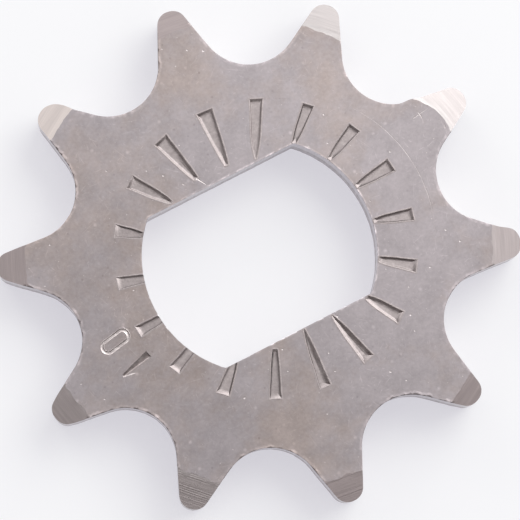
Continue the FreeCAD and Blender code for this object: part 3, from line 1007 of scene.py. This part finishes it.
# the finished mesh is shaded flat on its level and large faces, and smooth elsewhere up to
# the sharp angle
SHARP_ANGLE, LEVEL, LARGEST_SMOOTH = math.radians(32), 0.9995, 0.4 * MM * MM
finished = bpy.data.meshes.new_from_object(
    plate.evaluated_get(bpy.context.evaluated_depsgraph_get())
)
plate.modifiers.clear()
plate.data = finished
finished.set_sharp_from_angle(angle=SHARP_ANGLE)
for face in finished.polygons:
    face.use_smooth = abs(face.normal.z) < LEVEL and face.area < LARGEST_SMOOTH
# these names only served the cuts
for name in ("pressed", "struck", "nicked", "punched", "ground", "cell", "cut"):
    finished.attributes.remove(finished.attributes[name])
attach(plate, "root")
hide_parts("sprocket")

# Table and backdrop: a sheet of white paper under and behind the part. It shows as white,
# also in the steel, and keeps the part's soft shadow.
PAPER = (0.93, 0.93, 0.945, 1.0)
WHITE = (0.95, 0.95, 0.965, 1.0)
# what the camera sees of the paper is a part that takes the shadow, and a glow over it
SHADED = (0.458, 0.471, 0.426, 1.0)
GLOW = (0.497, 0.483, 0.546, 1.0)
FLOOR_REACH, FLOOR_DROP = 2.0, 0.02 * MM


def seen_directly(tree):
    """1 for what the camera, a reflection or glass sees, and 0 for scattered light."""
    path = tree.nodes.new("ShaderNodeLightPath")
    kinds = ("Camera", "Glossy", "Transmission")
    seen, mirrored, through = (Field(path.outputs[f"Is {kind} Ray"]) for kind in kinds)
    return calc("MAXIMUM", calc("MAXIMUM", seen, mirrored), through)


def blend(tree, share, first, second, kind):
    """Mix two shaders and give the result to the material's or the world's output."""
    both = add(tree, "ShaderNodeMixShader", {0: share, 1: first, 2: second})[0]
    feed(tree.nodes.new(kind).inputs["Surface"], both)


corners = [(-1, -1), (1, -1), (1, 1), (-1, 1)]
corners = [(x * FLOOR_REACH, y * FLOOR_REACH, 0.0) for x, y in corners]
floor_mesh = bpy.data.meshes.new("floor")
floor_mesh.from_pydata(corners, [], [(0, 1, 2, 3)])
floor = bpy.data.objects.new("floor", floor_mesh)
floor.location.z = -FLOOR_DROP
bpy.context.scene.collection.objects.link(floor)
paper = bpy.data.materials.new("white_paper")
paper.use_nodes = True
tree = paper.node_tree
tree.nodes.clear()
plain = add(tree, "ShaderNodeBsdfDiffuse", {"Color": PAPER})[0]
shaded = add(tree, "ShaderNodeBsdfDiffuse", {"Color": SHADED})[0]
glow = add(tree, "ShaderNodeEmission", {"Color": GLOW})[0]
shown = add(tree, "ShaderNodeAddShader", {0: shaded, 1: glow})[0]
blend(tree, seen_directly(tree), plain, shown, "ShaderNodeOutputMaterial")
floor_mesh.materials.append(paper)
world = bpy.data.worlds.new("white_studio")
bpy.context.scene.world = world
world.use_nodes = True
tree = world.node_tree
tree.nodes.clear()
fill = add(tree, "ShaderNodeBackground", {"Color": (1.0, 1.0, 1.0, 1.0), "Strength": 0.6})[0]
white = add(tree, "ShaderNodeBackground", {"Color": WHITE})[0]
blend(tree, seen_directly(tree), fill, white, "ShaderNodeOutputWorld")

# Lights: a large softbox at the upper right, a small low one at the upper left, and across
# from them a curved sheet of dark card, which only shows in the steel and shades its walls.
# each softbox's bearing and height in degrees, its breadth in metres, and its watts
SOFTBOXES = {
    "softbox": (18, 42, 0.36, 1.2),
    "low_softbox": (98, 22, 0.2, 0.3),
}
LAMP_DISTANCE = 0.45
for name, (azimuth, lift, breadth, watts) in SOFTBOXES.items():
    light = bpy.data.lights.new(name, "AREA")
    light.shape = "SQUARE"
    light.size = breadth
    light.energy = watts
    softbox = bpy.data.objects.new(name, light)
    azimuth, lift = math.radians(azimuth), math.radians(lift)
    softbox.location = (
        LAMP_DISTANCE * math.cos(lift) * math.cos(azimuth),
        LAMP_DISTANCE * math.cos(lift) * math.sin(azimuth),
        LAMP_DISTANCE * math.sin(lift),
    )
    softbox.rotation_euler = softbox.location.to_track_quat("Z", "Y").to_euler()
    bpy.context.scene.collection.objects.link(softbox)
# the card's distance in metres, then in degrees the bearing of its middle, how far it
# spreads to each side, its lower and upper edge, and how far its ends drop
CARD_RADIUS, CARD_MIDDLE, CARD_SPREAD = 0.42, 230, 104
CARD_LOW, CARD_HIGH, CARD_DROP = 2, 79, 34
columns, rows = 24, 10
points, quads = [], []
for row in range(rows + 1):
    for column in range(columns + 1):
        aside = 2 * column / columns - 1
        high = CARD_HIGH - CARD_DROP * max(abs(aside) - 0.5, 0.0) ** 2 * 4
        height = math.radians(CARD_LOW + (high - CARD_LOW) * row / rows)
        way = math.radians(CARD_MIDDLE + CARD_SPREAD * aside)
        reach = CARD_RADIUS * math.cos(height)
        above = CARD_RADIUS * math.sin(height)
        points.append((reach * math.cos(way), reach * math.sin(way), above))
for row in range(rows):
    for column in range(columns):
        corner = row * (columns + 1) + column
        quads.append((corner, corner + columns + 1, corner + columns + 2, corner + 1))
card_mesh = bpy.data.meshes.new("dark_card")
card_mesh.from_pydata(points, [], quads)
card = bpy.data.objects.new("dark_card", card_mesh)
bpy.context.scene.collection.objects.link(card)
card.visible_camera = False
card.visible_diffuse = False
card.visible_shadow = False
card_paint = bpy.data.materials.new("dark_card")
card_paint.use_nodes = True
shader = card_paint.node_tree.nodes["Principled BSDF"]
shader.inputs["Base Color"].default_value = (0.12, 0.1, 0.098, 1.0)
shader.inputs["Roughness"].default_value = 1.0
card_mesh.materials.append(card_paint)

# Camera: high above the part and a little to its lower left, with a long lens, so that
# the walls show as thin strips.
FOCAL_PIXELS, PHOTO_PIXELS, SENSOR = 4000, 520, 36
view = bpy.data.cameras.new("camera")
view.sensor_width = SENSOR
view.lens = FOCAL_PIXELS / PHOTO_PIXELS * SENSOR
view.clip_start = 0.01
camera = bpy.data.objects.new("camera", view)
camera.location = (-27.261 * MM, -23.049 * MM, 339.76 * MM)
camera.rotation_euler = [math.radians(turn) for turn in (5.549, -2.322, -27.419)]
bpy.context.scene.collection.objects.link(camera)
bpy.context.scene.camera = camera
bpy.context.scene.view_settings.view_transform = "Standard"
